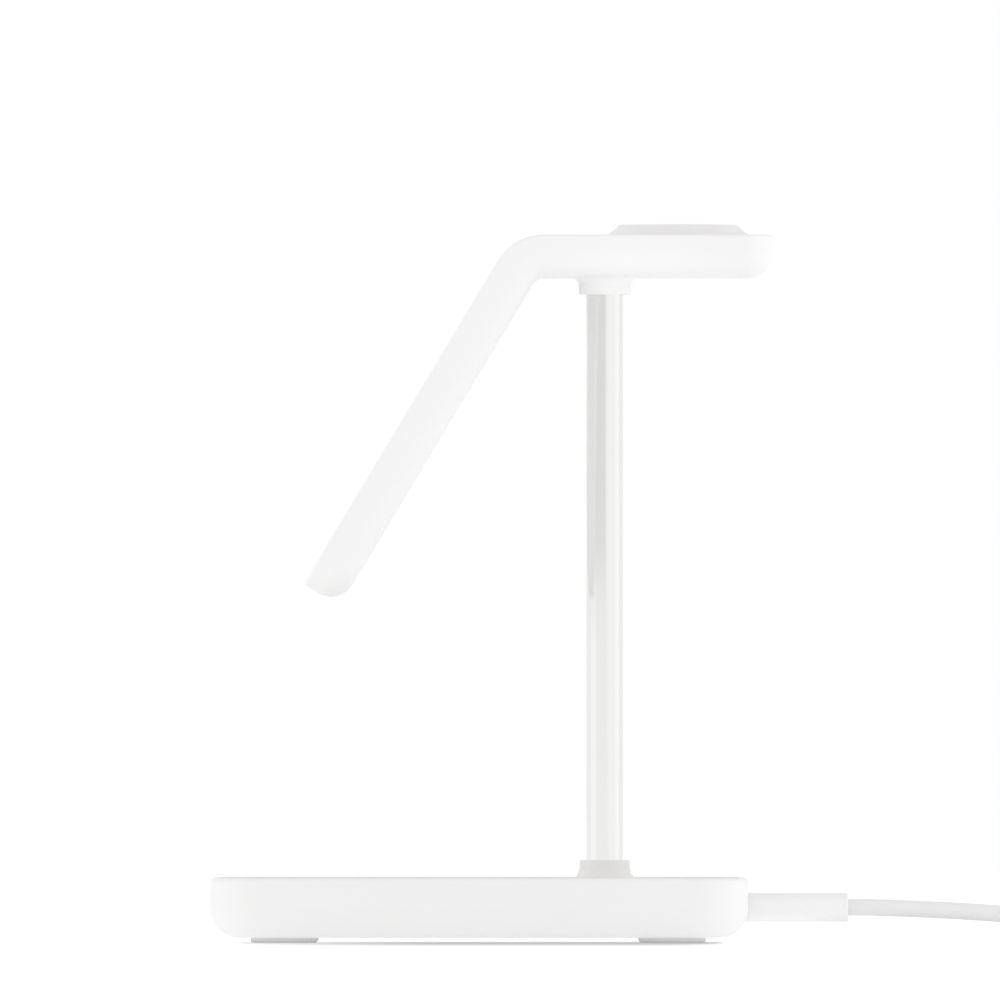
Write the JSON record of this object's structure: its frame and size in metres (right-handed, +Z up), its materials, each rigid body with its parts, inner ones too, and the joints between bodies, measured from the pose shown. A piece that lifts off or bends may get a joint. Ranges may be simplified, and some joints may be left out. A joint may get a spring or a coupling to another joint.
{
  "type": "three in one wireless charger",
  "caption": "Wireless charging stand: earbud tray base, polished tube post, bent head with a sloping phone panel and a raised watch puck, and a coiled cord with a plug.",
  "frame": {"origin": "on the table, under the middle of the charger without its cord", "axes": "+Z up; -X towards the phone side, +X towards the side where the cord leaves; Y across the width"},
  "size_m": [0.2809, 0.1138, 0.1727],
  "materials": {
    "shell_white": "satin moulded white plastic",
    "soft_grey": "light grey soft-touch silicone",
    "soft_white": "white soft-touch coated plastic",
    "polished_post": "polished metal tube",
    "foot_rubber": "grey rubber",
    "steel": "plain steel",
    "magnet": "nickel plated magnet",
    "copper": "enamelled copper winding",
    "ferrite": "dark sintered ferrite",
    "board": "green circuit board",
    "dark_plastic": "black plastic",
    "cord_white": "white cord jacket",
    "plug_white": "white moulded plug"
  },
  "bodies": {
    "root": {"base_housing": "shell_white", "base_deck": "shell_white", "earbud_pad": "soft_grey", "earbud_coil": "copper", "earbud_ferrite": "ferrite", "ballast_plate": "steel", "base_circuit_board": "board", "power_socket": "steel", "socket_tongue": "dark_plastic", "rubber_feet": "foot_rubber", "base_screws": "steel", "board_screws": "steel", "post": "polished_post", "post_collar": "soft_grey", "post_flange": "steel", "flange_screws": "steel", "post_wires": "dark_plastic", "head_shell": "shell_white", "head_cover": "soft_white", "head_bracket": "steel", "bracket_screws": "steel", "head_circuit_board": "board", "phone_pad": "soft_grey", "phone_magnets": "magnet", "phone_coil": "copper", "phone_ferrite": "ferrite", "phone_backing": "steel", "watch_puck": "soft_grey", "watch_coil": "copper", "watch_magnet": "magnet", "watch_ferrite": "ferrite", "watch_backing": "steel", "plug_body": "plug_white", "plug_tip": "steel", "cord_lead": "cord_white", "cord_coil": "cord_white", "cord_tail": "cord_white", "coil_tie": "soft_grey", "far_plug_body": "plug_white", "far_plug_tip": "steel"}
  },
  "joints": []
}
